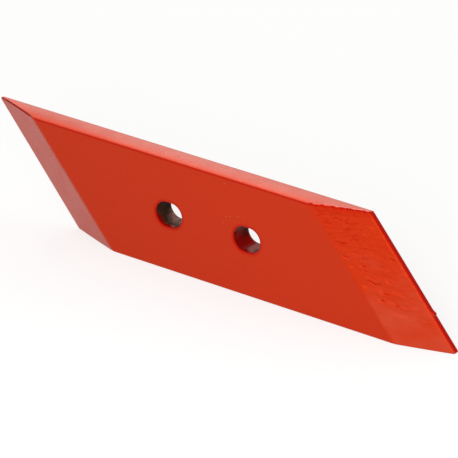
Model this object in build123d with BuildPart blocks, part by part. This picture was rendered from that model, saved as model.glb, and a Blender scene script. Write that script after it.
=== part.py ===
from build123d import *
from math import atan2, cos
import os

# A reversible chisel point for a plough: one length of steel flat, cropped on a slant at both ends, bevelled on
# its wearing face down to a cutting edge at each end, and slotted for two bolts.
# Millimetres. The point stands on its lower long side. X runs along it, with the blunter end at +X.
# The wearing face looks towards -Y and the seat face towards +Y. Z runs up across the width of the flat.
# The origin is on the lower long side, straight under the middle of the two bolt slots.

# The flat, and how far its corners are rounded
flat_width = 60.0
flat_thickness = 12.0
arris_radius = 0.4

# The slanted ends: each long side measures side_length along X,
# and the upper one lies end_slant further towards -X than the lower one
side_length = 232.0
end_slant = 51.0
left_tip_radius = 1.3
right_tip_radius = 0.5

# The bevels: how far each runs in from its end along X, and the thickness left at its cutting edge
right_bevel_run = 29.5
right_land = 3.0
left_bevel_run = 31.0
left_land = 1.0
bevel_border_radius = 6.0

# The two bolt slots, both along X at the middle of the width
slot_length = 16.0
slot_width = 13.0
slot_spacing = 48.0
slot_mouth_radius = 0.4

# Worked out from the sizes above
front_y = -flat_thickness / 2
back_y = flat_thickness / 2
middle_z = flat_width / 2
right_end_x = (side_length + end_slant) / 2
left_end_x = (end_slant - side_length) / 2
slant_angle = atan2(end_slant, flat_width)


def bevel_plane(end_x, outward, run, land):
    """The plane of a bevel, its normal out of the metal. end_x is the end at the lower side, outward is 1 or -1."""
    end = Plane(
        origin=(end_x, back_y - land, 0),
        x_dir=(outward * flat_width, 0, outward * end_slant),
        z_dir=(-outward * end_slant, 0, outward * flat_width),
    )
    square_run = run * cos(slant_angle)
    depth = flat_thickness - land
    return Plane(origin=end.origin, x_dir=end.z_dir, z_dir=end.x_dir * depth - Vector(0, square_run, 0))


with BuildPart() as chisel_point:
    # The flat, cropped on the slant at both ends, with the two acute tips blunted
    with BuildSketch(Plane.XZ.offset(-back_y)):
        with BuildLine():
            Polyline(
                (left_end_x, 0),
                (right_end_x, 0),
                (right_end_x - end_slant, flat_width),
                (left_end_x - end_slant, flat_width),
                close=True,
            )
        make_face()
        fillet(vertices().sort_by(Axis.X)[0], left_tip_radius)
        fillet(vertices().sort_by(Axis.X)[-1], right_tip_radius)
    extrude(amount=flat_thickness)

    # The bevels on the wearing face, each with a softly rounded border to the flat part
    split(bisect_by=bevel_plane(right_end_x, 1, right_bevel_run, right_land), keep=Keep.BOTTOM)
    split(bisect_by=bevel_plane(left_end_x, -1, left_bevel_run, left_land), keep=Keep.BOTTOM)
    wearing_face = faces().sort_by(Axis.Y)[0]
    borders = wearing_face.edges().filter_by(Axis.X, reverse=True)
    fillet(borders, bevel_border_radius)

    # The arrises all round both faces
    sides = faces().filter_by(lambda face: abs(face.normal_at().Y) < 0.01)
    fillet(sides.edges().filter_by(Axis.Y, reverse=True), arris_radius)

    # The bolt slots, square through the flat, with their front mouths rounded
    with BuildSketch(Plane.XZ.offset(-back_y)):
        with Locations((0, middle_z)):
            with GridLocations(slot_spacing, 0, 2, 1):
                SlotOverall(slot_length, slot_width)
    extrude(amount=flat_thickness, mode=Mode.SUBTRACT)
    mouths = faces().sort_by(Axis.Y)[0].inner_wires()
    fillet(mouths.edges(), slot_mouth_radius)

chisel_point.part.label = "chisel_point"

os.makedirs("parts", exist_ok=True)
export_step(chisel_point.part, "parts/chisel_point.step")
print("volume", round(chisel_point.part.volume), "mm3")
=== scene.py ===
import functools
import math
import random

import bmesh
import bpy
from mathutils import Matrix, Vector, noise


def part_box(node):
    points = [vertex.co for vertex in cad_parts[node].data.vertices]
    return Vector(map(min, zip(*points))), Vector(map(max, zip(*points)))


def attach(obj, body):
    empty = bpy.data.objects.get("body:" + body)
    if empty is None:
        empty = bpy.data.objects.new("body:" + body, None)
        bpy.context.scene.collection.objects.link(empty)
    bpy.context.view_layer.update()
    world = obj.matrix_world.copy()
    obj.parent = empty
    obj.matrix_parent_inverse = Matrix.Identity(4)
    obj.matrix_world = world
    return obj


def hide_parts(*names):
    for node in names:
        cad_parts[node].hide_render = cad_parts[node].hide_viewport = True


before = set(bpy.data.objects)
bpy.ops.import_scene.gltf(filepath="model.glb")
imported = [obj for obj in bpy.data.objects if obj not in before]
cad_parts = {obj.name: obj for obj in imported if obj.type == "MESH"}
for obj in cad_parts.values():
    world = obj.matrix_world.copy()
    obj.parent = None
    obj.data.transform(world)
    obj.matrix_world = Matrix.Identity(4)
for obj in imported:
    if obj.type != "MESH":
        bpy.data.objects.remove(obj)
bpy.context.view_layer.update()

MM = 0.001

# A length too small to matter
HAIR = 1e-9

# The steel flat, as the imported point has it
low_corner, high_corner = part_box("chisel_point")
FRONT_Y, BACK_Y = low_corner.y, high_corner.y
THICKNESS = BACK_Y - FRONT_Y
WIDTH = high_corner.z - low_corner.z
MIDDLE_Z = WIDTH / 2

# The slanted ends and their bevels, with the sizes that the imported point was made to
SIDE_LENGTH = 232 * MM
END_SLANT = 51 * MM
LEFT_TIP_RADIUS = 1.3 * MM
RIGHT_TIP_RADIUS = 0.5 * MM
RIGHT_BEVEL_RUN, RIGHT_LAND = 29.5 * MM, 3 * MM
LEFT_BEVEL_RUN, LEFT_LAND = 31 * MM, 1 * MM
BEVEL_BORDER_RADIUS = 6 * MM
SLANT_COSINE = WIDTH / math.hypot(WIDTH, END_SLANT)
HALF_SIDE = SIDE_LENGTH / 2

# The other two corners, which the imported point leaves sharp
BLUNT_CORNER_RADIUS = 0.5 * MM

# Where the bevels meet the flat part, measured along it, and how far the soft border reaches to either side
LEFT_BORDER = LEFT_BEVEL_RUN - HALF_SIDE
RIGHT_BORDER = HALF_SIDE - RIGHT_BEVEL_RUN
BORDER_REACH = 2 * MM

# The arrises, which are rounder along the right cutting edge and at the top of the left bevel
ARRIS_RADIUS = 0.4 * MM
END_ARRIS_RADIUS = 0.5 * MM
END_ARRIS_FADE = (2 * MM, 1 * MM)
TIP_ARRIS_RADIUS = 0.6 * MM
TIP_ARRIS_FADE = 4 * MM
BEHIND_TIP = (4 * MM, 9 * MM)
TIP_ARRIS_BELOW_TOP = (3 * MM, 1.5 * MM)

# The bulge of the narrow sides: how much they drop at their edges, and where they are highest
SIDE_CROWN, EDGE_CROWN = 0.36 * MM, 0.06 * MM
CROWN_TOP_Y = 1 * MM
LOWER_CROWN_SHARE = 0.4

# The two bolt slots
SLOT_LENGTH, SLOT_WIDTH = 16 * MM, 13 * MM
SLOT_OFFSET = 24 * MM
SLOT_PLACES = (-SLOT_OFFSET, SLOT_OFFSET)
SLOT_MOUTH_RADIUS = 0.4 * MM
SLOT_RADIUS = SLOT_WIDTH / 2
SLOT_STRAIGHT = (SLOT_LENGTH - SLOT_WIDTH) / 2

# The marks of the forge on the right bevel, with places given from the origin, which is on the lower side
# under the middle of the two slots. The steel is crumpled up to a distance from the cutting edge, above a
# height that rises with that distance
CRUMPLED_RUN, CRUMPLED_FADE = 28 * MM, 4 * MM
CALM_AT_EDGE, CALM_RISE = 8 * MM, 19 * MM
CALM_FADE_BELOW, CALM_FADE_ABOVE = 2 * MM, 3 * MM

# The folds that the photo shows, in millimetres: the x and z of the middle, the length and the rise
UPPER_FOLD = (78.6, 43.7, 13, 1.0)
LOWER_FOLD = (96.9, 27.4, 15, -3.0)
PIT = (103.1, 19.6, 4, 0.2)
SMALLER_FOLDS = (
    (85.4, 46.0, 6.0, 0.1),
    (92.1, 34.2, 5.5, 0.3),
    (104.1, 39.4, 6.5, -0.7),
    (104.9, 28.9, 4.0, -0.2),
    (92.0, 37.4, 6.0, 0.5),
    (101.2, 35.1, 4.5, 0.2),
    (82.2, 37.6, 6.5, 0.1),
    (104.1, 22.9, 6.5, 0.7),
)
LONG_FOLD_DEPTH, PIT_DEPTH, SMALLER_FOLD_DEPTH = 0.42 * MM, 0.45 * MM, 0.3 * MM

# How many folds there are in all, and what the others are drawn from, in millimetres
FOLD_COUNT = 46
FOLD_SEED = 11
FOLD_HEIGHTS, FOLDS_FROM_END = (9, 54), (4, 31)
FOLD_LENGTHS, FOLD_RISES, FOLD_DEPTHS = (3, 8), (-0.9, 1.1), (0.08, 0.24)

# Each fold is steep above and easy below, and snakes a little
FOLD_TOP, FOLD_FOOT = 0.35 * MM, 0.75 * MM
SNAKE_SIZE, SNAKE_LENGTH = 0.25 * MM, 0.9 * MM

# The waves between the folds, and the wander of the bevel's border
WAVE_HEIGHT, WAVE_LENGTH, WAVE_WIDTH = 0.17 * MM, 3 * MM, 1.3 * MM
WAVE_MIDDLE = 0.5
BORDER_WANDER, WANDER_LENGTH = 0.7 * MM, 3.1 * MM
WANDER_FADE = (2 * MM, 12 * MM)

# The ragged top edge of the bevel, its nicks, and the burr on the cutting edge
RAGGED_EDGE, RAGGED_REACH = 0.9 * MM, 0.9 * MM
LONG_RAG, SHORT_RAG, SHORT_RAG_SHARE = 1.9 * MM, 0.7 * MM, 0.35
NICK_PLACES = (72.3 * MM, 76.2 * MM, 79.2 * MM, 87.2 * MM, 90.1 * MM)
NICK_DEPTH, NICK_HALF_WIDTH, NICK_REACH = 0.6 * MM, 0.8 * MM, 1.6 * MM
BURR_Z, BURR_REACH, BURR_HEIGHT = 16.9 * MM, 1.4 * MM, 0.9 * MM
BURR_FROM_EDGE = 0.4 * MM
BURR_STARTS_Y = (2 * MM, 4 * MM)

# Which part of the noise the waves, the border and the ragged edge are taken from
WAVE_PICK = 1.7
BORDER_PICK, LONG_RAG_PICK, SHORT_RAG_PICK = (2.5, 7.1), (4.2, 0.3), (1, 6)

# The ripples are finer than the folds. They are weaker beside the cutting edge and low down,
# and reach their full size in a range of distances from the end and of heights
RIPPLES_AT_EDGE, FULL_RIPPLES_FROM_END = 0.45, (5 * MM, 13 * MM)
RIPPLES_LOW_DOWN, FULL_RIPPLES_HEIGHTS = 0.42, (30 * MM, 44 * MM)

# How far behind the front surface a mark of that surface has faded out
FRONT_FADE = 0.4 * MM


# The outline of the point, seen square to its faces


def along(x, z):
    """How far a point lies along the flat, counted so that both slanted ends are at a constant value."""
    return x + END_SLANT * (z / WIDTH - 0.5)


def x_at(s, z):
    """The x of a place, from how far it lies along the flat and its height."""
    return s - END_SLANT * (z / WIDTH - 0.5)


def unit(x, z):
    length = math.hypot(x, z)
    return x / length, z / length


class Corner:
    """One corner of the outline, rounded to a radius."""

    def __init__(self, x, z, toward_a, toward_b, radius):
        self.x, self.z, self.radius = x, z, radius
        self.a, self.b = unit(*toward_a), unit(*toward_b)
        cosine = self.a[0] * self.b[0] + self.a[1] * self.b[1]
        half = math.acos(cosine) / 2
        bisector = unit(self.a[0] + self.b[0], self.a[1] + self.b[1])
        self.reach = radius / math.tan(half)
        self.cx = x + bisector[0] * radius / math.sin(half)
        self.cz = z + bisector[1] * radius / math.sin(half)

    def holds(self, x, z):
        dx, dz = x - self.x, z - self.z
        return all(dx * e[0] + dz * e[1] < self.reach - HAIR for e in (self.a, self.b))

    def pull_in(self, x, z):
        """Moves a point of the sharp corner so that the sharp outline lands on the arc."""
        dx, dz = x - self.cx, z - self.cz
        if math.hypot(dx, dz) < HAIR:
            return x, z
        ux, uz = unit(dx, dz)
        rise = 0.0
        for edge, other in ((self.a, self.b), (self.b, self.a)):
            nx, nz = -edge[1], edge[0]
            if nx * other[0] + nz * other[1] > 0:
                nx, nz = -nx, -nz
            rise = max(rise, ux * nx + uz * nz)
        return self.cx + dx * rise, self.cz + dz * rise

    def depth(self, x, z):
        """How far a point lies inside the arc."""
        return self.radius - math.hypot(x - self.cx, z - self.cz)


def make_corners():
    left, right = -HALF_SIDE + END_SLANT / 2, HALF_SIDE + END_SLANT / 2
    up, down = (-END_SLANT, WIDTH), (END_SLANT, -WIDTH)
    return [
        Corner(left, 0, (1, 0), up, BLUNT_CORNER_RADIUS),
        Corner(right, 0, (-1, 0), up, RIGHT_TIP_RADIUS),
        Corner(right - END_SLANT, WIDTH, (-1, 0), down, BLUNT_CORNER_RADIUS),
        Corner(left - END_SLANT, WIDTH, (1, 0), down, LEFT_TIP_RADIUS),
    ]


CORNERS = make_corners()


def plan_point(s, t):
    """The place in plan of a grid point: s along the flat, t across it."""
    x, z = x_at(s, t), t
    for corner in CORNERS:
        if corner.holds(x, z):
            return corner.pull_in(x, z)
    return x, z


def inset(x, z):
    """How far a point lies inside the outline."""
    for corner in CORNERS:
        if corner.holds(x, z):
            return corner.depth(x, z)
    to_ends = (HALF_SIDE - abs(along(x, z))) * SLANT_COSINE
    return min(z, WIDTH - z, to_ends)


# The folds, waves and nicks of the right bevel, all of them pressed in


def smooth(value, start, end):
    """0 at start, 1 at end and an even S between them."""
    share = max(0.0, min(1.0, (value - start) / (end - start)))
    return share * share * (3 - 2 * share)


def hump(distance, reach):
    """1 in the middle, falling to 0 at the reach on either side."""
    return smooth(abs(distance), reach, 0)


def blend(share, first, second):
    """The first value where the share is 0, and the second where it is 1."""
    return first + (second - first) * share


def rough_line(place, length, pick):
    """Random values that change smoothly along a line, from about -1 to 1."""
    return noise.noise(Vector((place / length, *pick)))


def crumpling(x, z):
    """From 0 to 1, how crumpled the steel is: only on the right bevel, and not in its lower left part."""
    from_end = HALF_SIDE - along(x, z)
    calm_height = CALM_AT_EDGE + CALM_RISE * (max(from_end, 0.0) / CRUMPLED_RUN) ** 3
    near_end = smooth(from_end, CRUMPLED_RUN + CRUMPLED_FADE, CRUMPLED_RUN)
    return near_end * smooth(z, calm_height - CALM_FADE_BELOW, calm_height + CALM_FADE_ABOVE)


class Fold:
    """A short fold in the steel, lying roughly along the flat, steep above and easy below."""

    def __init__(self, x, z, length, rise, depth):
        self.x, self.z, self.half, self.deepest = x, z, length / 2, depth
        self.run = unit(length, rise)

    def depth(self, x, z):
        dx, dz = x - self.x, z - self.z
        u = dx * self.run[0] + dz * self.run[1]
        if abs(u) > self.half:
            return 0.0
        v = dz * self.run[0] - dx * self.run[1] + SNAKE_SIZE * math.sin(u / SNAKE_LENGTH)
        across = hump(v, FOLD_TOP if v > 0 else FOLD_FOOT)
        return self.deepest * hump(u, self.half) * across


def make_folds():
    """The folds that the photo shows, and then others, drawn at random where the steel is crumpled."""
    placed = [(UPPER_FOLD, LONG_FOLD_DEPTH), (LOWER_FOLD, LONG_FOLD_DEPTH), (PIT, PIT_DEPTH)]
    placed += [(fold, SMALLER_FOLD_DEPTH) for fold in SMALLER_FOLDS]
    folds = [Fold(*(value * MM for value in fold), depth) for fold, depth in placed]
    draw = random.Random(FOLD_SEED)
    while len(folds) < FOLD_COUNT:
        z = draw.uniform(*FOLD_HEIGHTS) * MM
        from_end = draw.uniform(*FOLDS_FROM_END) * MM
        x = x_at(HALF_SIDE - from_end, z)
        length = draw.uniform(*FOLD_LENGTHS) * MM
        rise = draw.uniform(*FOLD_RISES) * MM
        depth = draw.uniform(*FOLD_DEPTHS) * MM
        if draw.random() < crumpling(x, z):
            folds.append(Fold(x, z, length, rise, depth))
    return folds


FOLDS = make_folds()


@functools.cache
def forge_marks(x, z):
    """How deep the folds, waves and nicks are at a place."""
    share = crumpling(x, z)
    if share == 0:
        return 0.0
    wave = noise.noise(Vector((x / WAVE_LENGTH, z / WAVE_WIDTH, WAVE_PICK)))
    depth = share * WAVE_HEIGHT * (WAVE_MIDDLE + wave)
    depth += share * max(fold.depth(x, z) for fold in FOLDS)
    below_edge = WIDTH - z
    rags = rough_line(x, LONG_RAG, LONG_RAG_PICK) + SHORT_RAG_SHARE * rough_line(x, SHORT_RAG, SHORT_RAG_PICK)
    depth += share * RAGGED_EDGE * max(0.0, rags) * hump(below_edge, RAGGED_REACH)
    for place in NICK_PLACES:
        depth += NICK_DEPTH * hump(x - place, NICK_HALF_WIDTH) * hump(below_edge, NICK_REACH)
    return depth


def border_wander(x, z):
    """The border of the right bevel wanders a little where the steel is crumpled."""
    return BORDER_WANDER * crumpling(x, z) * rough_line(z, WANDER_LENGTH, BORDER_PICK)


# The front and back surfaces, as depths behind the flat part of each face


def rounding(distance, radius):
    """How far a rounded edge has dropped at a distance in from it."""
    if distance >= radius:
        return 0.0
    gap = radius - max(distance, 0.0)
    return radius - math.sqrt(max(radius * radius - gap * gap, 0.0))


def bevel_depth(to_end, run, land):
    """How deep a bevel has cut at a square distance from its end, with a rounded border to the face."""
    square_run = run * SLANT_COSINE
    slope = (THICKNESS - land) / square_run
    angle = math.atan(slope)
    past_border = square_run - to_end
    reach = BEVEL_BORDER_RADIUS * math.tan(angle / 2)
    into_arc = past_border + reach
    if into_arc <= 0:
        return 0.0
    if into_arc < BEVEL_BORDER_RADIUS * math.sin(angle):
        return BEVEL_BORDER_RADIUS - math.sqrt(BEVEL_BORDER_RADIUS**2 - into_arc**2)
    return past_border * slope


def clamp(value, limit):
    return max(-limit, min(limit, value))


def from_slot_wall(dx, dz):
    """How far a place, given from a slot's middle, lies outside that slot."""
    return math.hypot(dx - clamp(dx, SLOT_STRAIGHT), dz) - SLOT_RADIUS


def front_arris_radius(s, z):
    """The front arris is rounder along the right cutting edge and at the top of the left bevel."""
    at_right_end = smooth(HALF_SIDE - s, *END_ARRIS_FADE)
    on_left_bevel = smooth(s, LEFT_BORDER, LEFT_BORDER - TIP_ARRIS_FADE)
    behind_tip = smooth(HALF_SIDE + s, *BEHIND_TIP)
    near_top = smooth(WIDTH - z, *TIP_ARRIS_BELOW_TOP)
    radius = blend(at_right_end, ARRIS_RADIUS, END_ARRIS_RADIUS)
    return radius + (TIP_ARRIS_RADIUS - ARRIS_RADIUS) * on_left_bevel * behind_tip * near_top


@functools.cache
def front_depth(x, z):
    s = along(x, z)
    to_right_end = (HALF_SIDE - s) * SLANT_COSINE
    wander = border_wander(x, z) * smooth(to_right_end, *WANDER_FADE)
    depth = bevel_depth(to_right_end + wander, RIGHT_BEVEL_RUN, RIGHT_LAND)
    depth += bevel_depth((HALF_SIDE + s) * SLANT_COSINE, LEFT_BEVEL_RUN, LEFT_LAND)
    depth += forge_marks(x, z)
    depth += rounding(inset(x, z), front_arris_radius(s, z))
    for slot_x in SLOT_PLACES:
        depth += rounding(from_slot_wall(x - slot_x, z - MIDDLE_Z), SLOT_MOUTH_RADIUS)
    return depth


def back_depth(x, z):
    return rounding(inset(x, z), ARRIS_RADIUS)


def behind_front(x, y, z):
    """How far a point lies behind the front surface."""
    return y - (FRONT_Y + front_depth(x, z))


# What the mesh tells its paint, for each point

# How far the paint is darkened, from 0 to 1: painted shade, with pooled paint, in the folds and on the slots'
# lips, painted shade on the right cutting edge, and darker bands under the upper arris and the top of the
# right bevel
SHADE_IN_FOLDS = 0.55
DARK_ON_ARRIS, DARK_ON_LEFT_ARRIS = 0.48, 1.0
SHADE_ON_EDGE, SHADE_AT_BACK = 0.50, 0.2
SHADE_ON_LIPS = 0.45
DARK_UNDER_TOP = 0.2

# Where it is darkened: painted shade in folds of these depths and in a band round the slots, and a darker
# band along the upper arris
SHADED_FOLDS = (0.15 * MM, 0.42 * MM)
ARRIS_BAND, LEFT_ARRIS_BAND = 0.45 * MM, 0.30 * MM
ARRIS_BAND_REACH, LEFT_ARRIS_BAND_REACH = 0.7 * MM, 1.1 * MM
UNDER_TOP_BAND = (5 * MM, 2 * MM)
LIP_BAND = (0.7 * MM, 0.3 * MM)

# How far past its border a bevel counts in full
BEVEL_FADE = 3 * MM

# On the right cutting edge, where painted shade lies: how far in from the end, how far from the front surface
# and how far from the back
EDGE_FROM_END = (0.7 * MM, 0.3 * MM)
EDGE_BEHIND_FRONT = (-0.15 * MM, 0.1 * MM)
EDGE_FROM_BACK = (1.6 * MM, 0.4 * MM)

# How strong the painted highlight on the edges is, where 1 is bright red and 2 is pale
LIT_ABOVE_FLAT, LIT_ABOVE_BEVEL, LIT_BESIDE_EDGE = 1, 2, 1.15
ABOVE_FLAT_BAND, ABOVE_BEVEL_BAND = (6 * MM, 0.8 * MM), (1.3 * MM, 0.4 * MM)
BESIDE_EDGE_LINE, BESIDE_EDGE_REACH, BESIDE_EDGE_FADE = 1.05 * MM, 0.4 * MM, 0.3 * MM

# A point this close to the full width lies on the upper side
UPPER_SIDE_SLACK = 0.05 * MM


def shade_and_dark_paint(x, y, z):
    """From 0 to 1, how far the paint is darkened at a place: painted shade, with pooled paint, in the folds
    and on the slots' lips, painted shade on the right cutting edge, and darker bands under the upper arris
    and the top of the right bevel.
    """
    s = along(x, z)
    from_front = behind_front(x, y, z)
    on_front = smooth(from_front, FRONT_FADE, 0)
    below_edge = WIDTH - z
    left_bevel = smooth(s, LEFT_BORDER, LEFT_BORDER - BEVEL_FADE)
    right_bevel = smooth(s, RIGHT_BORDER, RIGHT_BORDER + BEVEL_FADE)
    band = blend(left_bevel, ARRIS_BAND, LEFT_ARRIS_BAND)
    band_reach = blend(left_bevel, ARRIS_BAND_REACH, LEFT_ARRIS_BAND_REACH)
    # Darker red in a band under the upper arris, and under the top of the right bevel
    on_arris = blend(left_bevel, DARK_ON_ARRIS, DARK_ON_LEFT_ARRIS) * hump(below_edge - band, band_reach)
    under_top = DARK_UNDER_TOP * right_bevel * smooth(below_edge, *UNDER_TOP_BAND)
    # Painted shade, with pooled paint, in the folds
    in_folds = SHADE_IN_FOLDS * smooth(forge_marks(x, z), *SHADED_FOLDS)
    from_wall = min(from_slot_wall(x - slot_x, z - MIDDLE_Z) for slot_x in SLOT_PLACES)
    # Painted shade, with pooled paint, on the slots' lips
    on_lips = SHADE_ON_LIPS * smooth(from_wall, *LIP_BAND)
    at_back = SHADE_AT_BACK * smooth(BACK_Y - y, *EDGE_FROM_BACK)
    # Painted shade on the right cutting edge, darker towards the back
    at_end = smooth(HALF_SIDE - s, *EDGE_FROM_END) * smooth(from_front, *EDGE_BEHIND_FRONT)
    return max(on_front * max(on_arris, under_top, in_folds, on_lips), at_end * (SHADE_ON_EDGE + at_back))


def lit_edge(x, y, z):
    """How strong the painted highlight is: on the front of the upper side, and on a line beside the right
    cutting edge.
    """
    s = along(x, z)
    from_front = behind_front(x, y, z)
    if WIDTH - z > UPPER_SIDE_SLACK:
        beside_edge = hump(HALF_SIDE - s - BESIDE_EDGE_LINE, BESIDE_EDGE_REACH)
        return LIT_BESIDE_EDGE * beside_edge * smooth(from_front, BESIDE_EDGE_FADE, 0)
    above_flat = LIT_ABOVE_FLAT * smooth(from_front, *ABOVE_FLAT_BAND)
    above_bevel = LIT_ABOVE_BEVEL * smooth(from_front, *ABOVE_BEVEL_BAND)
    return blend(smooth(s, RIGHT_BORDER, RIGHT_BORDER + BEVEL_FADE), above_flat, above_bevel)


def rippling(x, y, z):
    """How strong the ripples are, which fade towards the cutting edge and downwards."""
    on_front = smooth(behind_front(x, y, z), FRONT_FADE, 0)
    away_from_edge = blend(smooth(HALF_SIDE - along(x, z), *FULL_RIPPLES_FROM_END), RIPPLES_AT_EDGE, 1)
    by_height = blend(smooth(z, *FULL_RIPPLES_HEIGHTS), RIPPLES_LOW_DOWN, 1)
    return crumpling(x, z) * on_front * away_from_edge * by_height


# The mesh

# How far apart its rows and columns are, closest on the right bevel, which is dented
FINE_STEP = 0.38 * MM
LEFT_BEVEL_STEP, LEFT_BORDER_STEP = 1.1 * MM, 0.4 * MM
PLAIN_STEP, SLOTTED_STEP = 3 * MM, 1.5 * MM
SLOTTED_PART = 42 * MM
CUTTING_EDGE_COLUMNS = (3, 2.2, 1.6, 1.2)
SIDE_STEPS, SLOT_WALL_STEPS = 12, 10
ARRIS_STEPS = [ARRIS_RADIUS * (1 - math.cos(math.radians(a))) for a in (0, 25, 45, 67)]
MOUTH_STEPS = [SLOT_MOUTH_RADIUS * (1 - math.cos(math.radians(a))) for a in (0, 22, 45, 67, 90)]

# The patch round each slot: half its length and height, the collar beside the slot and the rings beyond that
PATCH_HALF_LENGTH, PATCH_HALF_HEIGHT = 15 * MM, 13 * MM
PATCH_STRAIGHT = 2.8 * MM
COLLAR = 2.2 * MM
RING_SHARES = (0.2, 0.45, 0.72)


def spread(start, end, step):
    """Evenly spaced values from start up to, but not including, end."""
    count = max(1, round((end - start) / step))
    return [start + (end - start) * i / count for i in range(count)]


def row_places():
    """The grid's rows, across the flat: close together at the two long edges."""
    start = ARRIS_STEPS + [ARRIS_RADIUS]
    middle = spread(ARRIS_RADIUS, WIDTH - ARRIS_RADIUS, FINE_STEP)[1:]
    return start + middle + [WIDTH - v for v in reversed(start)]


def column_places():
    """The grid's columns, along the flat."""
    edge = [v / SLANT_COSINE for v in ARRIS_STEPS]
    first = ARRIS_RADIUS / SLANT_COSINE
    places = [v - HALF_SIDE for v in edge]
    places += spread(first - HALF_SIDE, LEFT_BORDER - BORDER_REACH, LEFT_BEVEL_STEP)
    places += spread(LEFT_BORDER - BORDER_REACH, LEFT_BORDER + BORDER_REACH, LEFT_BORDER_STEP)
    places += spread(LEFT_BORDER + BORDER_REACH, -SLOTTED_PART, PLAIN_STEP)
    places += spread(-SLOTTED_PART, SLOTTED_PART, SLOTTED_STEP)
    places += spread(SLOTTED_PART, RIGHT_BORDER - BORDER_REACH, PLAIN_STEP)
    places += spread(RIGHT_BORDER - BORDER_REACH, HALF_SIDE - CUTTING_EDGE_COLUMNS[0] * first, FINE_STEP)
    places += [HALF_SIDE - k * first for k in CUTTING_EDGE_COLUMNS]
    return places + [HALF_SIDE - v for v in reversed(edge)]


def nearest(places, value):
    return min(range(len(places)), key=lambda i: abs(places[i] - value))


class Builder:
    """Collects points and faces of the mesh."""

    def __init__(self):
        self.points, self.faces = [], []

    def point(self, x, y, z):
        self.points.append((x, y, z))
        return len(self.points) - 1

    def strip(self, first, second):
        """Joins two closed loops of points, one to one, with quads."""
        count = len(first)
        for i in range(count):
            j = (i + 1) % count
            self.faces.append((first[i], first[j], second[j], second[i]))


def loop_round(i0, i1, j0, j1):
    """The grid points round a block of the grid, in order."""
    loop = [(i, j0) for i in range(i0, i1)] + [(i1, j) for j in range(j0, j1)]
    return loop + [(i, j1) for i in range(i1, i0, -1)] + [(i0, j) for j in range(j1, j0, -1)]


def patch_loop(columns, rows, slot_x):
    """The loop of grid points round a slot's patch, the grid cells inside it and the points inside it."""
    i0, i1 = nearest(columns, slot_x - PATCH_HALF_LENGTH), nearest(columns, slot_x + PATCH_HALF_LENGTH)
    j0, j1 = nearest(rows, MIDDLE_Z - PATCH_HALF_HEIGHT), nearest(rows, MIDDLE_Z + PATCH_HALF_HEIGHT)
    cells = {(i, j) for i in range(i0, i1) for j in range(j0, j1)}
    inner = {(i, j) for i in range(i0 + 1, i1) for j in range(j0 + 1, j1)}
    return loop_round(i0, i1, j0, j1), cells, inner


def slot_place(dx, dz, outward):
    """The place on a ring round a slot that faces a point of its patch's loop."""
    spine = clamp(dx, PATCH_STRAIGHT)
    ux, uz = unit(dx - spine, dz)
    reach = SLOT_RADIUS + outward
    return spine / PATCH_STRAIGHT * SLOT_STRAIGHT + ux * reach, uz * reach


def slot_rings(places, slot_x):
    """Rings of plan points from a slot's wall out to, but not including, its patch's own loop."""
    rings = []
    for outward in MOUTH_STEPS + [COLLAR]:
        ring = [slot_place(x - slot_x, z - MIDDLE_Z, outward) for x, z in places]
        rings.append([(slot_x + dx, MIDDLE_Z + dz) for dx, dz in ring])
    collar = rings[-1]
    for share in RING_SHARES:
        pairs = zip(collar, places)
        rings.append([tuple(blend(share, a, b) for a, b in zip(near, far)) for near, far in pairs])
    return rings


def face_sheet(builder, columns, rows, surface_y):
    """One face of the flat with its two slots. Gives its outer loop and the loops at the slot walls."""
    patches = [patch_loop(columns, rows, slot_x) for slot_x in SLOT_PLACES]
    skipped_cells = set().union(*(cells for _, cells, _ in patches))
    skipped_points = set().union(*(inner for _, _, inner in patches))
    grid = {}
    for i, s in enumerate(columns):
        for j, t in enumerate(rows):
            if (i, j) not in skipped_points:
                x, z = plan_point(s, t)
                grid[i, j] = builder.point(x, surface_y(x, z), z)
    last_i, last_j = len(columns) - 1, len(rows) - 1
    for i in range(last_i):
        for j in range(last_j):
            if (i, j) not in skipped_cells:
                builder.faces.append((grid[i, j], grid[i + 1, j], grid[i + 1, j + 1], grid[i, j + 1]))
    slot_loops = []
    for (loop, _, _), slot_x in zip(patches, SLOT_PLACES):
        outer = [grid[key] for key in loop]
        places = [(builder.points[k][0], builder.points[k][2]) for k in outer]
        rings = []
        for ring in slot_rings(places, slot_x):
            rings.append([builder.point(x, surface_y(x, z), z) for x, z in ring])
        for first, second in zip([outer] + rings[::-1], rings[::-1]):
            builder.strip(first, second)
        slot_loops.append(rings[0])
    return [grid[key] for key in loop_round(0, last_i, 0, last_j)], slot_loops


def wall(builder, front_loop, back_loop, steps):
    """Joins a loop on the front sheet to the same loop on the back sheet."""
    lines = [front_loop]
    for k in range(1, steps):
        line = []
        for a, b in zip(front_loop, back_loop):
            ends = zip(builder.points[a], builder.points[b])
            line.append(builder.point(*(blend(k / steps, front, back) for front, back in ends)))
        lines.append(line)
    lines.append(back_loop)
    for first, second in zip(lines, lines[1:]):
        builder.strip(first, second)


def crown(x, y, z):
    """The narrow sides of a rolled flat bulge a little between their edges, the upper one the more."""
    off_crown = (y - CROWN_TOP_Y) / (THICKNESS / 2)
    off_middle = y / (THICKNESS / 2)
    drop = SIDE_CROWN * off_crown**2 + EDGE_CROWN * off_middle**4
    toward_top = z / MIDDLE_Z - 1
    share = toward_top**2 if toward_top > 0 else -LOWER_CROWN_SHARE * toward_top**2
    return x, y, z - drop * share


def burr(x, y, z):
    """A small burr of steel and paint stands out of the right cutting edge, low down."""
    at_edge = hump(HALF_SIDE - along(x, z), BURR_FROM_EDGE) * smooth(y, *BURR_STARTS_Y)
    height = BURR_HEIGHT * hump(z - BURR_Z, BURR_REACH) * at_edge
    return x + height, y, z


def store_value(mesh, name, values):
    mesh_value = mesh.attributes.new(name, "FLOAT", "POINT")
    mesh_value.data.foreach_set("value", values)


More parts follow.
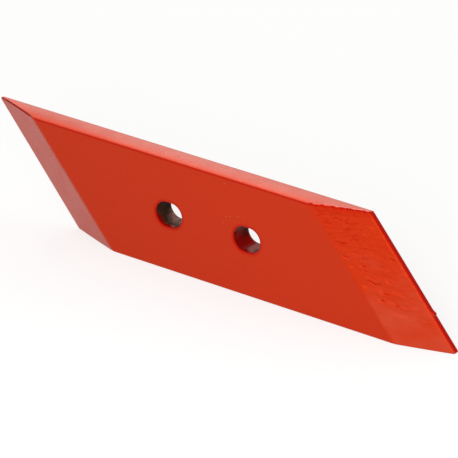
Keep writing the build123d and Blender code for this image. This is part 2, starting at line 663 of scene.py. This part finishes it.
def make_point():
    columns, rows = column_places(), row_places()
    builder = Builder()
    front_rim, front_slots = face_sheet(builder, columns, rows, lambda x, z: FRONT_Y + front_depth(x, z))
    back_rim, back_slots = face_sheet(builder, columns, rows, lambda x, z: BACK_Y - back_depth(x, z))
    wall(builder, front_rim, back_rim, SIDE_STEPS)
    outside_faces = len(builder.faces)
    for front_loop, back_loop in zip(front_slots, back_slots):
        wall(builder, front_loop, back_loop, SLOT_WALL_STEPS)
    mesh = bpy.data.meshes.new("chisel_point_steel")
    mesh.from_pydata([crown(*burr(*p)) for p in builder.points], [], builder.faces)
    store_value(mesh, "shade_and_dark_paint", [shade_and_dark_paint(*p) for p in builder.points])
    store_value(mesh, "lit_edge", [lit_edge(*p) for p in builder.points])
    store_value(mesh, "crumpled", [rippling(*p) for p in builder.points])
    for polygon in mesh.polygons:
        polygon.use_smooth = True
        polygon.material_index = 0 if polygon.index < outside_faces else 1
    bm = bmesh.new()
    bm.from_mesh(mesh)
    bmesh.ops.recalc_face_normals(bm, faces=bm.faces)
    bm.to_mesh(mesh)
    bm.free()
    piece = bpy.data.objects.new("chisel_point_steel", mesh)
    bpy.context.scene.collection.objects.link(piece)
    return piece


steel = make_point()


# Paint and bare steel

PAINT_RED = (0.60, 0.034, 0.007, 1)
DEEP_RED = (0.62, 0.016, 0.004, 1)
PALE_RED = (0.60, 0.062, 0.028, 1)
# Painted shade and the darker bands: deep red, then darkest red for the left arris and the back of the
# cutting edge
SHADE_AND_DARK_RED = (0.50, 0.003, 0.001, 1)
DARK_RED = (0.26, 0.022, 0.009, 1)
HIGHLIGHT_RED = (0.76, 0.045, 0.009, 1)
PALE_HIGHLIGHT = (0.84, 0.22, 0.13, 1)
SHADED_RED = (0.26, 0.002, 0.001, 1)
DARK_STEEL = (0.040, 0.016, 0.007, 1)
WORN_AND_LIT_STEEL = (0.42, 0.21, 0.18, 1)
SHADED_STEEL = (0.010, 0.003, 0.001, 1)
SPECK_PINK = (0.62, 0.13, 0.07, 1)

# How thin the paint is, from 0 to 1: on the flat part, and what the bevels add to that. On the left bevel the
# added paleness is a painted reflection
PLAIN_THINNESS = 0.5
REFLECTION_ON_LEFT_BEVEL = 0.3
THINNER_AT_FOOT, THINNER_AT_TOP = 0.36, -0.12
FOOT_TO_TOP = (2 * MM, 56 * MM)
BACK_EDGE = (0.3 * MM, 0.6 * MM)
PATCHY_FACE, PATCHY_BEVEL = 0.2, 0.8
TONE_SCALE, TONE_STRETCH = 60, (1, 1, 1.6)

# The ripples of the right bevel, which rise a little along it, and the painted shade, a deeper red, in their
# low parts
RIPPLE_SCALE, RIPPLE_STRETCH, RIPPLE_ROUGHNESS = 640, (0.36, 0.36, 1), 0.6
RIPPLE_HEIGHT, RIPPLE_RISE = 0.62 * MM, 0.18
LOW_PARTS = (0.48, 0.34)
SHADE_IN_LOW_PARTS = 0.24

# The painted highlight at the lit edges gives way where the paint is darkened. The highest values stand for
# the bare line on the left arris
DARK_HIDES_HIGHLIGHT = (0.35, 0.05)
BARE_LINE = (0.75, 0.95)

# The paint's gloss and its skin, and the colour of its reflections
GLOSS_SCALE, GLOSS_LEVELS, PAINT_ROUGHNESS = 90, (0.3, 0.7), (0.24, 0.31)
SKIN_SCALE, SKIN_STRETCH, SKIN_ROUGHNESS = 420, (0.6, 1, 1), 0.55
SKIN_HEIGHT = 0.01 * MM
PAINT_IOR = 1.5
PAINT_REFLECTION = (1.0, 0.12, 0.03, 1)

# Specks of dust in the paint of the face, as x and z in millimetres
SPECKS = ((11.4, 39.1), (13.8, 39.7), (18.7, 41.1), (9.3, 35.4), (10.5, 56.3))
SPECK_RADIUS, SPECK_CORE = 0.45 * MM, 0.4

# The slots' walls. Depths are behind the front face and heights are from mid-width.
# Paint has run in at the front, low down, and covers the left side of the right slot up to a height
FRAY_SCALE, FRAY_SIZE = 500, 3 * MM
RUN_IN_DEPTHS, RUN_IN_HEIGHTS = (2.2 * MM, 3.2 * MM), (-3 * MM, 0)
RIGHT_SLOT_SIDE = (0, 2 * MM)
COVERED_PAST_MIDDLE, COVERED_HEIGHTS = (0.5 * MM, 2.5 * MM), (1.5 * MM, 2.5 * MM)

# The bare steel is worn brighter in scratches and above the covered part, and is made lighter low and deep
# in, towards the far mouth, as painted light
SCRATCH_SCALE, SCRATCH_STRETCH, SCRATCH_ROUGHNESS = 900, (1, 0.25, 1), 0.6
SCRATCH_LEVELS, SCRATCH_WEAR = (0.32, 0.68), (0.2, 1)
LIT_LEAN = 1.2
LIT_DEPTHS, DEEP_LIGHT = (10 * MM, 19 * MM), (0.06, 1)
WEAR_ABOVE_COVERED = 0.5
# Painted shade deep in the slots, above the lower part: the depths and heights where it comes in, and how
# dark it gets
SHADE_DEPTHS, SHADE_HEIGHTS, SHADE_SHARE = (3 * MM, 10 * MM), (-5 * MM, -1 * MM), 0.75
STEEL_ROUGHNESS, RUN_IN_ROUGHNESS = 0.5, 0.2
SLOT_SKIN_HEIGHT = 0.02 * MM
SLOT_IOR = 1.12
SLOT_REFLECTION = (1.0, 0.3, 0.25, 1)


class Tree:
    """Adds nodes to a node tree and links them."""

    def __init__(self, tree):
        self.tree, self.nodes, self.links = tree, tree.nodes, tree.links

    def put(self, socket, value):
        if isinstance(value, bpy.types.NodeSocket):
            self.links.new(value, socket)
        else:
            socket.default_value = value

    def math(self, operation, first, second):
        node = self.nodes.new("ShaderNodeMath")
        node.operation = operation
        self.put(node.inputs[0], first)
        self.put(node.inputs[1], second)
        return node.outputs[0]

    def plus(self, first, second):
        return self.math("ADD", first, second)

    def minus(self, first, second):
        return self.math("SUBTRACT", first, second)

    def most(self, first, second):
        return self.math("MAXIMUM", first, second)

    def times(self, first, *others):
        for other in others:
            first = self.math("MULTIPLY", first, other)
        return first

    def ramp(self, value, start, end, low=0.0, high=1.0):
        """A smooth change from low to high while the value goes from start to end."""
        node = self.nodes.new("ShaderNodeMapRange")
        node.interpolation_type = "SMOOTHSTEP"
        self.put(node.inputs["Value"], value)
        for name, number in (("From Min", start), ("From Max", end), ("To Min", low), ("To Max", high)):
            node.inputs[name].default_value = number
        return node.outputs["Result"]

    def mix(self, share, first, second):
        node = self.nodes.new("ShaderNodeMix")
        node.data_type = "RGBA"
        self.put(node.inputs[0], share)
        self.put(node.inputs[6], first)
        self.put(node.inputs[7], second)
        return node.outputs[2]

    def place(self):
        return self.nodes.new("ShaderNodeTexCoord").outputs["Object"]

    def mesh_value(self, name):
        node = self.nodes.new("ShaderNodeAttribute")
        node.attribute_name = name
        return node.outputs["Fac"]

    def dot(self, vector, centre, radius):
        """1 at the centre, falling to 0 at the radius."""
        node = self.nodes.new("ShaderNodeVectorMath")
        node.operation = "DISTANCE"
        self.links.new(vector, node.inputs[0])
        node.inputs[1].default_value = centre
        return self.ramp(node.outputs["Value"], radius * SPECK_CORE, radius, 1, 0)

    def split(self, vector):
        node = self.nodes.new("ShaderNodeSeparateXYZ")
        self.links.new(vector, node.inputs[0])
        return node.outputs[0], node.outputs[1], node.outputs[2]

    def joined(self, x, y, z):
        node = self.nodes.new("ShaderNodeCombineXYZ")
        for socket, value in zip(node.inputs, (x, y, z)):
            self.put(socket, value)
        return node.outputs[0]

    def stretched(self, vector, scale):
        node = self.nodes.new("ShaderNodeMapping")
        self.links.new(vector, node.inputs["Vector"])
        node.inputs["Scale"].default_value = scale
        return node.outputs["Vector"]

    def noise(self, vector, scale, detail=3, roughness=0.5):
        node = self.nodes.new("ShaderNodeTexNoise")
        self.links.new(vector, node.inputs["Vector"])
        node.inputs["Scale"].default_value = scale
        node.inputs["Detail"].default_value = detail
        node.inputs["Roughness"].default_value = roughness
        return node.outputs["Fac"]

    def group(self, tree, **values):
        node = self.nodes.new("ShaderNodeGroup")
        node.node_tree = tree
        for name, value in values.items():
            self.put(node.inputs[name.replace("_", " ")], value)
        return node.outputs[0]


def new_group(name, inputs, output, output_kind):
    """A node group with named inputs and one output. Gives the tree, its inputs and its output socket."""
    tree = bpy.data.node_groups.new(name, "ShaderNodeTree")
    for title, kind, value in inputs:
        socket = tree.interface.new_socket(title, in_out="INPUT", socket_type=kind)
        if value is not None:
            socket.default_value = value
    tree.interface.new_socket(output, in_out="OUTPUT", socket_type=output_kind)
    entry, end = tree.nodes.new("NodeGroupInput"), tree.nodes.new("NodeGroupOutput")
    return Tree(tree), entry.outputs, end.inputs[0]


def paint_tone_group():
    """The paint's colour by how thin its coat is, from 0 to 1, made patchy, and taken to deep and then dark
    red where painted shade and the darker bands lie.
    """
    inputs = (
        ("Place", "NodeSocketVector", None),
        ("Thinness", "NodeSocketFloat", PLAIN_THINNESS),
        ("Patchiness", "NodeSocketFloat", PATCHY_FACE),
        ("Thick coat", "NodeSocketFloat", 0.0),
    )
    tree, given, result = new_group("paint_tone", inputs, "Colour", "NodeSocketColor")
    patches = tree.noise(tree.stretched(given["Place"], TONE_STRETCH), TONE_SCALE)
    thinness = tree.plus(given["Thinness"], tree.times(tree.minus(patches, 0.5), given["Patchiness"]))
    lower_half = tree.mix(tree.ramp(thinness, 0, 0.5), DEEP_RED, PAINT_RED)
    coat = tree.mix(tree.ramp(thinness, 0.5, 1), lower_half, PALE_RED)
    # Painted shade and the darker bands: first deep red, then dark red
    shade_and_dark = tree.mix(tree.ramp(given["Thick coat"], 0, 0.5), coat, SHADE_AND_DARK_RED)
    tree.put(result, tree.mix(tree.ramp(given["Thick coat"], 0.5, 1), shade_and_dark, DARK_RED))
    return tree.tree


def paint_skin_group():
    """The small unevenness of brushed and dipped paint, in metres."""
    inputs = (("Place", "NodeSocketVector", None), ("Height", "NodeSocketFloat", SKIN_HEIGHT))
    tree, given, result = new_group("paint_skin", inputs, "Relief", "NodeSocketFloat")
    skin = tree.noise(tree.stretched(given["Place"], SKIN_STRETCH), SKIN_SCALE, roughness=SKIN_ROUGHNESS)
    tree.put(result, tree.times(skin, given["Height"]))
    return tree.tree


PAINT_TONE = paint_tone_group()
PAINT_SKIN = paint_skin_group()


def new_material(name):
    material = bpy.data.materials.new(name)
    material.use_nodes = True
    return material, Tree(material.node_tree), material.node_tree.nodes["Principled BSDF"]


def relief(tree, shader, height):
    bump = tree.nodes.new("ShaderNodeBump")
    bump.inputs["Distance"].default_value = 1.0
    tree.put(bump.inputs["Height"], height)
    tree.put(shader.inputs["Normal"], bump.outputs["Normal"])


def bevel_masks(tree, x, y, z):
    """1 on the right bevel and 1 on the left one, and 0 everywhere else."""
    s = tree.minus(tree.plus(x, tree.times(z, END_SLANT / WIDTH)), END_SLANT / 2)
    off_back = tree.ramp(y, *(BACK_Y - depth for depth in BACK_EDGE))
    right = tree.ramp(s, RIGHT_BORDER - BORDER_REACH, RIGHT_BORDER + BORDER_REACH)
    left = tree.ramp(s, LEFT_BORDER + BORDER_REACH, LEFT_BORDER - BORDER_REACH)
    return tree.times(off_back, right), tree.times(off_back, left)


def ripple_pattern(tree, x, y, z):
    """Fine ripples, drawn out along the flat."""
    across = tree.minus(z, tree.times(x, RIPPLE_RISE))
    place = tree.stretched(tree.joined(x, y, across), RIPPLE_STRETCH)
    return tree.noise(place, RIPPLE_SCALE, roughness=RIPPLE_ROUGHNESS)


def speck_mask(tree, place):
    """1 in the middle of each speck."""
    specks = 0.0
    for speck_x, speck_z in SPECKS:
        specks = tree.plus(specks, tree.dot(place, (speck_x * MM, FRONT_Y, speck_z * MM), SPECK_RADIUS))
    return specks


def paint_material():
    """Red paint: paler where it is thin, and paler on the left bevel as a painted reflection; deep red where
    painted shade and the darker bands lie; and painted highlights at the lit edges.
    """
    material, tree, shader = new_material("red_paint")
    place = tree.place()
    x, y, z = tree.split(place)
    on_right_bevel, on_left_bevel = bevel_masks(tree, x, y, z)
    right_change = tree.times(on_right_bevel, tree.ramp(z, *FOOT_TO_TOP, THINNER_AT_FOOT, THINNER_AT_TOP))
    # A painted reflection: paler paint on the left bevel
    left_change = tree.times(on_left_bevel, REFLECTION_ON_LEFT_BEVEL)
    thinness = tree.plus(PLAIN_THINNESS, tree.plus(right_change, left_change))
    crumpled = tree.mesh_value("crumpled")
    ripples = ripple_pattern(tree, x, y, z)
    # Painted shade in the low parts of the ripples
    shade_in_low_parts = tree.times(tree.ramp(ripples, *LOW_PARTS), crumpled, SHADE_IN_LOW_PARTS)
    shade_and_dark = tree.most(tree.mesh_value("shade_and_dark_paint"), shade_in_low_parts)
    patchiness = tree.ramp(on_right_bevel, 0, 1, PATCHY_FACE, PATCHY_BEVEL)
    colour = tree.group(PAINT_TONE, Place=place, Thinness=thinness, Patchiness=patchiness, Thick_coat=shade_and_dark)
    lit = tree.times(tree.mesh_value("lit_edge"), tree.ramp(shade_and_dark, *DARK_HIDES_HIGHLIGHT))
    # Painted highlights at the lit edges: bright red, and pale where the right bevel cuts the upper side
    colour = tree.mix(tree.ramp(lit, 0, 1), colour, HIGHLIGHT_RED)
    colour = tree.mix(tree.ramp(lit, 1, 2), colour, PALE_HIGHLIGHT)
    tree.put(shader.inputs["Base Color"], tree.mix(speck_mask(tree, place), colour, SPECK_PINK))
    gloss = tree.noise(place, GLOSS_SCALE)
    tree.put(shader.inputs["Roughness"], tree.ramp(gloss, *GLOSS_LEVELS, *PAINT_ROUGHNESS))
    tree.put(shader.inputs["Metallic"], tree.ramp(shade_and_dark, *BARE_LINE))
    skin = tree.group(PAINT_SKIN, Place=place, Height=SKIN_HEIGHT)
    relief(tree, shader, tree.plus(skin, tree.times(tree.minus(ripples, 0.5), crumpled, RIPPLE_HEIGHT)))
    shader.inputs["IOR"].default_value = PAINT_IOR
    shader.inputs["Specular Tint"].default_value = PAINT_REFLECTION
    return material


def run_in_paint(tree, x, depth, height, fray):
    """1 where paint covers a slot's wall: at the front, low down, and on the left side of the right slot."""
    at_front = tree.ramp(tree.plus(depth, fray), *RUN_IN_DEPTHS, 1, 0)
    lip = tree.times(at_front, tree.ramp(height, *RUN_IN_HEIGHTS, 1, 0))
    past_middle = tree.minus(tree.plus(x, fray), SLOT_OFFSET)
    left_side = tree.ramp(past_middle, *COVERED_PAST_MIDDLE, 1, 0)
    below_top = tree.ramp(tree.plus(height, fray), *COVERED_HEIGHTS, 1, 0)
    return tree.most(lip, tree.times(tree.ramp(x, *RIGHT_SLOT_SIDE), left_side, below_top))


def worn_and_lit_steel(tree, place, x, depth, height):
    """How much lighter the bare steel is: worn in scratches and above the covered part, and painted light low
    and deep in, towards the far mouth.
    """
    scratched = tree.stretched(place, SCRATCH_STRETCH)
    scratches = tree.noise(scratched, SCRATCH_SCALE, roughness=SCRATCH_ROUGHNESS)
    low_and_deep = tree.minus(depth, tree.times(height, LIT_LEAN))
    deep_light = tree.ramp(low_and_deep, *LIT_DEPTHS, *DEEP_LIGHT)
    lit_scratches = tree.times(tree.ramp(scratches, *SCRATCH_LEVELS, *SCRATCH_WEAR), deep_light)
    above = tree.ramp(height, *COVERED_HEIGHTS, 0, WEAR_ABOVE_COVERED)
    return tree.most(lit_scratches, tree.times(tree.ramp(x, *RIGHT_SLOT_SIDE), above))


def slot_material():
    """The slots' walls: scratched bare steel with run-in paint over it, painted light low and deep in, and
    painted shade deep in, higher up.
    """
    material, tree, shader = new_material("slot_wall")
    place = tree.place()
    x, y, z = tree.split(place)
    depth, height = tree.minus(y, FRONT_Y), tree.minus(z, MIDDLE_Z)
    fray = tree.times(tree.minus(tree.noise(place, FRAY_SCALE, 4), 0.5), FRAY_SIZE)
    painted = run_in_paint(tree, x, depth, height, fray)
    bare = tree.mix(worn_and_lit_steel(tree, place, x, depth, height), DARK_STEEL, WORN_AND_LIT_STEEL)
    covered = tree.mix(painted, bare, SHADED_RED)
    # Painted shade deep in the slot, higher up
    slot_shade = tree.times(tree.ramp(depth, *SHADE_DEPTHS, 0, SHADE_SHARE), tree.ramp(height, *SHADE_HEIGHTS))
    tree.put(shader.inputs["Base Color"], tree.mix(slot_shade, covered, SHADED_STEEL))
    tree.put(shader.inputs["Roughness"], tree.ramp(painted, 0, 1, STEEL_ROUGHNESS, RUN_IN_ROUGHNESS))
    relief(tree, shader, tree.group(PAINT_SKIN, Place=place, Height=SLOT_SKIN_HEIGHT))
    shader.inputs["IOR"].default_value = SLOT_IOR
    shader.inputs["Specular Tint"].default_value = SLOT_REFLECTION
    return material


steel.data.materials.append(paint_material())
steel.data.materials.append(slot_material())
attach(steel, "root")
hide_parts("chisel_point")


# Floor, world, lamps

FLOOR_HALF = 6.0
FLOOR_GREY = (0.34, 0.342, 0.355, 1)
FLOOR_GLOW = 0.69
SKY_WHITE = (1.0, 0.99, 0.92, 1)
SKY_LIGHT, SKY_SEEN = 0.73, 1.0
WARM_WHITE = (1.0, 0.97, 0.88)
LAMP_SIZE = 0.40

# The darker corner of the studio, which shows only in reflections: its direction, how dark it is and how wide
DARK_CORNER = Vector((0.50, 0.72, 0.475)).normalized()
CORNER_DARKNESS = 0.85
CORNER_WIDTH = (0.78, 0.93)


def direction(azimuth, elevation):
    """Towards a place round the point: azimuth 0 is in front of it, and 90 beyond its right end."""
    a, e = math.radians(azimuth), math.radians(elevation)
    return Vector((math.sin(a) * math.cos(e), -math.cos(a) * math.cos(e), math.sin(e)))


def seen_directly(tree):
    """1 for rays from the camera and for reflections, 0 for the rays that light things."""
    path = tree.nodes.new("ShaderNodeLightPath")
    seen = tree.most(path.outputs["Is Camera Ray"], path.outputs["Is Glossy Ray"])
    return tree.most(seen, path.outputs["Is Transmission Ray"])


def floor_material():
    """A plain floor that takes the shadow, with a glow that makes it pale and lights nothing."""
    material = bpy.data.materials.new("floor_white")
    material.use_nodes = True
    tree = Tree(material.node_tree)
    tree.nodes.clear()
    output = tree.nodes.new("ShaderNodeOutputMaterial")
    diffuse = tree.nodes.new("ShaderNodeBsdfDiffuse")
    diffuse.inputs["Color"].default_value = FLOOR_GREY
    glow = tree.nodes.new("ShaderNodeEmission")
    tree.put(glow.inputs["Strength"], tree.times(seen_directly(tree), FLOOR_GLOW))
    both = tree.nodes.new("ShaderNodeAddShader")
    tree.links.new(diffuse.outputs[0], both.inputs[0])
    tree.links.new(glow.outputs[0], both.inputs[1])
    tree.links.new(both.outputs[0], output.inputs["Surface"])
    return material


def make_floor():
    corners = [(-FLOOR_HALF, -FLOOR_HALF, 0), (FLOOR_HALF, -FLOOR_HALF, 0)]
    corners += [(FLOOR_HALF, FLOOR_HALF, 0), (-FLOOR_HALF, FLOOR_HALF, 0)]
    mesh = bpy.data.meshes.new("floor")
    mesh.from_pydata(corners, [], [(0, 1, 2, 3)])
    mesh.materials.append(floor_material())
    floor = bpy.data.objects.new("floor", mesh)
    bpy.context.scene.collection.objects.link(floor)


def in_dark_corner(tree):
    """1 for reflections that look into the darker corner of the studio, behind and to the right."""
    facing = tree.nodes.new("ShaderNodeVectorMath")
    facing.operation = "DOT_PRODUCT"
    tree.links.new(tree.nodes.new("ShaderNodeTexCoord").outputs["Generated"], facing.inputs[0])
    facing.inputs[1].default_value = DARK_CORNER
    reflected = tree.nodes.new("ShaderNodeLightPath").outputs["Is Glossy Ray"]
    return tree.times(reflected, tree.ramp(facing.outputs["Value"], *CORNER_WIDTH))


def make_world():
    world = bpy.data.worlds.new("studio")
    bpy.context.scene.world = world
    world.use_nodes = True
    tree = Tree(world.node_tree)
    background = tree.nodes["Background"]
    background.inputs["Color"].default_value = SKY_WHITE
    level = tree.plus(tree.times(seen_directly(tree), SKY_SEEN - SKY_LIGHT), SKY_LIGHT)
    darker = tree.times(in_dark_corner(tree), CORNER_DARKNESS)
    tree.put(background.inputs["Strength"], tree.minus(level, darker))


def area_lamp(name, azimuth, elevation, distance, power, colour=(1, 1, 1)):
    toward = direction(azimuth, elevation)
    lamp = bpy.data.lights.new(name, "AREA")
    lamp.shape = "DISK"
    lamp.size = LAMP_SIZE
    lamp.energy = power
    lamp.color = colour
    holder = bpy.data.objects.new(name, lamp)
    holder.location = toward * distance
    holder.rotation_mode = "QUATERNION"
    holder.rotation_quaternion = toward.to_track_quat("Z", "Y")
    bpy.context.scene.collection.objects.link(holder)


make_floor()
make_world()
area_lamp("key", azimuth=30, elevation=25, distance=0.8, power=2.93)
area_lamp("rear_softbox_low", azimuth=217, elevation=24, distance=1.2, power=0.42, colour=WARM_WHITE)
area_lamp("rear_softbox_high", azimuth=217, elevation=36, distance=1.2, power=0.70, colour=WARM_WHITE)


# Camera

CAMERA_AZIMUTH = 37.432
CAMERA_ELEVATION = 24.760
CAMERA_DISTANCE = 2.0214
CAMERA_TARGET = Vector((13.21 * MM, FRONT_Y, 32.90 * MM))
FOCAL_PIXELS = 4165
PHOTO_PIXELS = 458
SENSOR_WIDTH = 36
CLIP_END = 30


def make_camera():
    back = direction(CAMERA_AZIMUTH, CAMERA_ELEVATION)
    camera = bpy.data.objects.new("camera", bpy.data.cameras.new("camera"))
    camera.data.sensor_width = SENSOR_WIDTH
    camera.data.lens = FOCAL_PIXELS / PHOTO_PIXELS * SENSOR_WIDTH
    camera.data.clip_end = CLIP_END
    camera.location = CAMERA_TARGET + back * CAMERA_DISTANCE
    camera.rotation_mode = "QUATERNION"
    camera.rotation_quaternion = back.to_track_quat("Z", "Y")
    bpy.context.scene.collection.objects.link(camera)
    bpy.context.scene.camera = camera


make_camera()
bpy.context.scene.view_settings.view_transform = "Standard"
